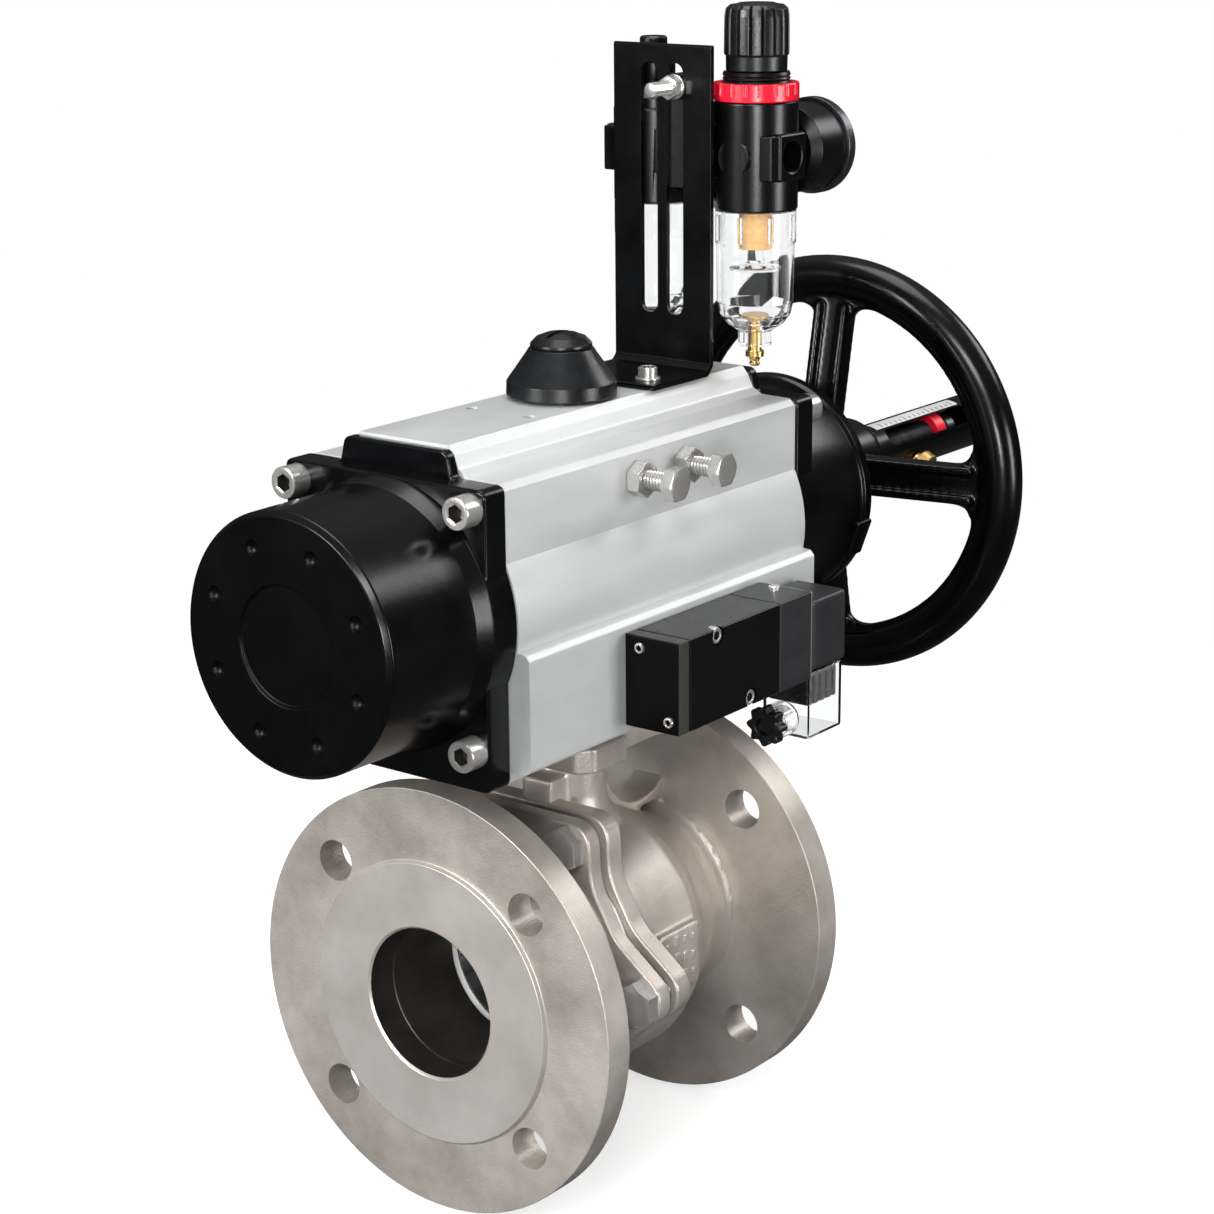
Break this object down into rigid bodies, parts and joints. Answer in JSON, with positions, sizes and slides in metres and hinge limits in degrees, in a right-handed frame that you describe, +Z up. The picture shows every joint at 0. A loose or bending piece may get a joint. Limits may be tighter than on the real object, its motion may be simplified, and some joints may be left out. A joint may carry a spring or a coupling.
{
  "type": "pneumatic actuated ball valve",
  "caption": "Flanged stainless ball valve turned by a rack-and-pinion pneumatic actuator, with handwheel override, solenoid valve and air filter regulator set.",
  "frame": {"origin": "centre of the ball, where the pipe axis crosses the stem axis", "axes": "+X along the pipe from inlet to outlet and towards the handwheel, +Z up the stem, -Y towards the solenoid valve"},
  "size_m": [0.5078, 0.2014, 0.4899],
  "materials": {
    "cast_stainless": "blasted cast stainless steel, machined on the flange faces",
    "polished_stainless": "polished",
    "plated_steel": "plated, machined",
    "white_ptfe": "smooth",
    "anodised_aluminium": "bead-blasted and clear anodised",
    "machined_aluminium": "turned",
    "black_paint": "gloss black coating",
    "black_plastic": "moulded, satin",
    "spring_steel": "dark coated",
    "brass": "machined",
    "red_plastic": "moulded, glossy",
    "clear_plastic": "clear moulded",
    "filter_bronze": "porous"
  },
  "bodies": {
    "housing": {"inlet_end": "cast_stainless", "valve_body": "cast_stainless", "joint_bolt_1": "plated_steel", "joint_bolt_2": "plated_steel", "joint_bolt_3": "plated_steel", "joint_bolt_4": "plated_steel", "joint_bolt_5": "plated_steel", "joint_bolt_6": "plated_steel", "cap_screw_1": "plated_steel", "cap_screw_2": "plated_steel", "cap_screw_3": "plated_steel", "cap_screw_4": "plated_steel", "stop_bolt_1": "plated_steel", "stop_bolt_2": "plated_steel", "stop_nut_1": "plated_steel", "stop_nut_2": "plated_steel", "seat_inlet": "white_ptfe", "seat_outlet": "white_ptfe", "body_gasket": "white_ptfe", "stem_packing": "white_ptfe", "actuator_body": "anodised_aluminium", "spring_cap": "black_paint", "override_cap": "black_paint", "screw_housing": "black_paint", "solenoid_end_plate": "black_paint", "solenoid_block": "black_paint", "pilot_block": "black_paint", "air_set_bracket": "black_paint", "manifold_clamp": "black_paint", "regulator_body": "black_paint", "lubricator_body": "black_paint", "gauge_case": "black_paint", "solenoid_coil": "black_plastic", "gland_nut": "black_plastic", "spring_near": "spring_steel", "spring_far": "spring_steel", "lock_ring": "red_plastic", "plug_housing": "clear_plastic", "filter_bowl": "clear_plastic", "lubricator_bowl": "clear_plastic", "filter_element": "filter_bronze"},
    "drive_train": {"pinion": "plated_steel", "stem": "polished_stainless", "ball": "polished_stainless", "position_indicator": "black_plastic"},
    "far_piston": {"piston_far": "machined_aluminium"},
    "near_piston": {"piston_near": "machined_aluminium"},
    "wheel": {"handwheel": "black_paint", "drive_sleeve": "brass", "indicator_tube": "black_paint"},
    "jackscrew": {"override_spindle": "plated_steel", "travel_ring": "red_plastic"},
    "tube_lock": {"thumb_screw": "brass"},
    "shuttle": {"spool": "machined_aluminium"},
    "manual_push": {"override_button": "plated_steel"},
    "adjuster": {"adjusting_screw": "plated_steel"},
    "set_knob": {"regulator_knob": "black_plastic"},
    "drain": {"drain_cock": "brass"},
    "needle": {"gauge_needle": "red_plastic"},
    "feed": {"feed_knob": "black_plastic"}
  },
  "joints": [
    {"name": "valve_turn", "type": "hinge", "parent": "housing", "child": "drive_train", "pos_m": [0, 0, 0.1725], "axis": [0, 0, 1], "range_deg": [-90, 0]},
    {"name": "far_piston_slide", "type": "slide", "parent": "housing", "child": "far_piston", "axis": [-1, 0, 0], "range_m": [0, 0.0283]},
    {"name": "near_piston_slide", "type": "slide", "parent": "housing", "child": "near_piston", "axis": [1, 0, 0], "range_m": [0, 0.0283]},
    {"name": "handwheel_turn", "type": "hinge", "parent": "housing", "child": "wheel", "pos_m": [0.2125, 0, 0.1725], "axis": [-1, 0, 0], "range_deg": [0, 3600]},
    {"name": "spindle_travel", "type": "slide", "parent": "housing", "child": "jackscrew", "axis": [-1, 0, 0], "range_m": [0, 0.0501]},
    {"name": "thumb_screw_turn", "type": "hinge", "parent": "wheel", "child": "tube_lock", "pos_m": [0.2665, 0, 0.1725], "axis": [0, -0.866, -0.5], "range_deg": [0, 360]},
    {"name": "spool_slide", "type": "slide", "parent": "housing", "child": "shuttle", "axis": [1, 0, 0], "range_m": [-0.004, 0.004]},
    {"name": "button_press", "type": "slide", "parent": "housing", "child": "manual_push", "axis": [0, 0, -1], "range_m": [0, 0.0015], "stiffness_N_per_m": 200},
    {"name": "adjusting_screw_turn", "type": "hinge", "parent": "housing", "child": "adjuster", "pos_m": [0.0925, -0.034, 0.386], "axis": [0, 0, 1], "range_deg": [0, 1800]},
    {"name": "knob_lift", "type": "slide", "parent": "adjuster", "child": "set_knob", "axis": [0, 0, 1], "range_m": [0, 0.003]},
    {"name": "drain_press", "type": "slide", "parent": "housing", "child": "drain", "axis": [0, 0, 1], "range_m": [0, 0.002], "stiffness_N_per_m": 200},
    {"name": "needle_turn", "type": "hinge", "parent": "housing", "child": "needle", "pos_m": [0.13, -0.034, 0.334], "axis": [1, 0, 0], "range_deg": [0, 270]},
    {"name": "feed_knob_turn", "type": "hinge", "parent": "housing", "child": "feed", "pos_m": [0.0925, 0.02, 0.377], "axis": [0, 0, 1], "range_deg": [0, 360]}
  ],
  "couplings": [
    {"joint": "far_piston_slide", "follows": "valve_turn", "m_per_rad": -0.018},
    {"joint": "near_piston_slide", "follows": "valve_turn", "m_per_rad": -0.018},
    {"joint": "spindle_travel", "follows": "handwheel_turn", "m_per_rad": 0.00079577}
  ]
}
